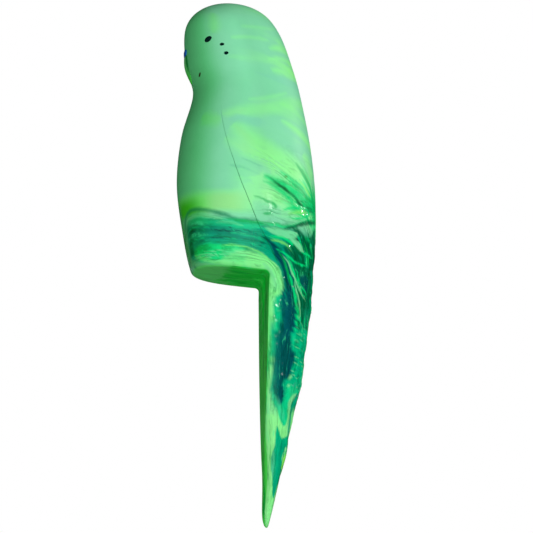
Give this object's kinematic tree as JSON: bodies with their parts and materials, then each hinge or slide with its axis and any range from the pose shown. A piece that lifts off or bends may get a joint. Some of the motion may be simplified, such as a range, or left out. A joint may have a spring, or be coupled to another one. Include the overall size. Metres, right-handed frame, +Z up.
{
  "type": "shelf-sitter bird figure",
  "caption": "Stylised budgerigar figure that sits on the edge of a shelf, its long tail hanging down in front of the shelf's edge.",
  "frame": {"origin": "inner corner of the notch under the bird, on its centre plane, where the shelf's top edge goes", "axes": "+Z up to the crown with the seat in Z = 0, -Y the way the bird faces, +X towards the bird's own left wing"},
  "size_m": [0.044, 0.0562, 0.1965],
  "materials": {
    "marbled_body": "marbled mint, neon green, emerald and teal, satin at the head and glossy at the rump",
    "marbled_wing": "marbled like the body, the swirls running on from it",
    "beak_green": "satin green",
    "cere_blue": "glossy dark blue",
    "spot_black": "glossy black with a green cast",
    "throat_olive": "satin dark olive"
  },
  "bodies": {
    "root": {"body": "marbled_body", "wing_left": "marbled_wing", "wing_right": "marbled_wing", "beak": "beak_green", "cere": "cere_blue", "eye_left": "spot_black", "eye_right": "spot_black", "cheek_spots_left": "spot_black", "cheek_spots_right": "spot_black", "throat_spot_left": "throat_olive", "throat_spot_right": "throat_olive"}
  },
  "joints": []
}
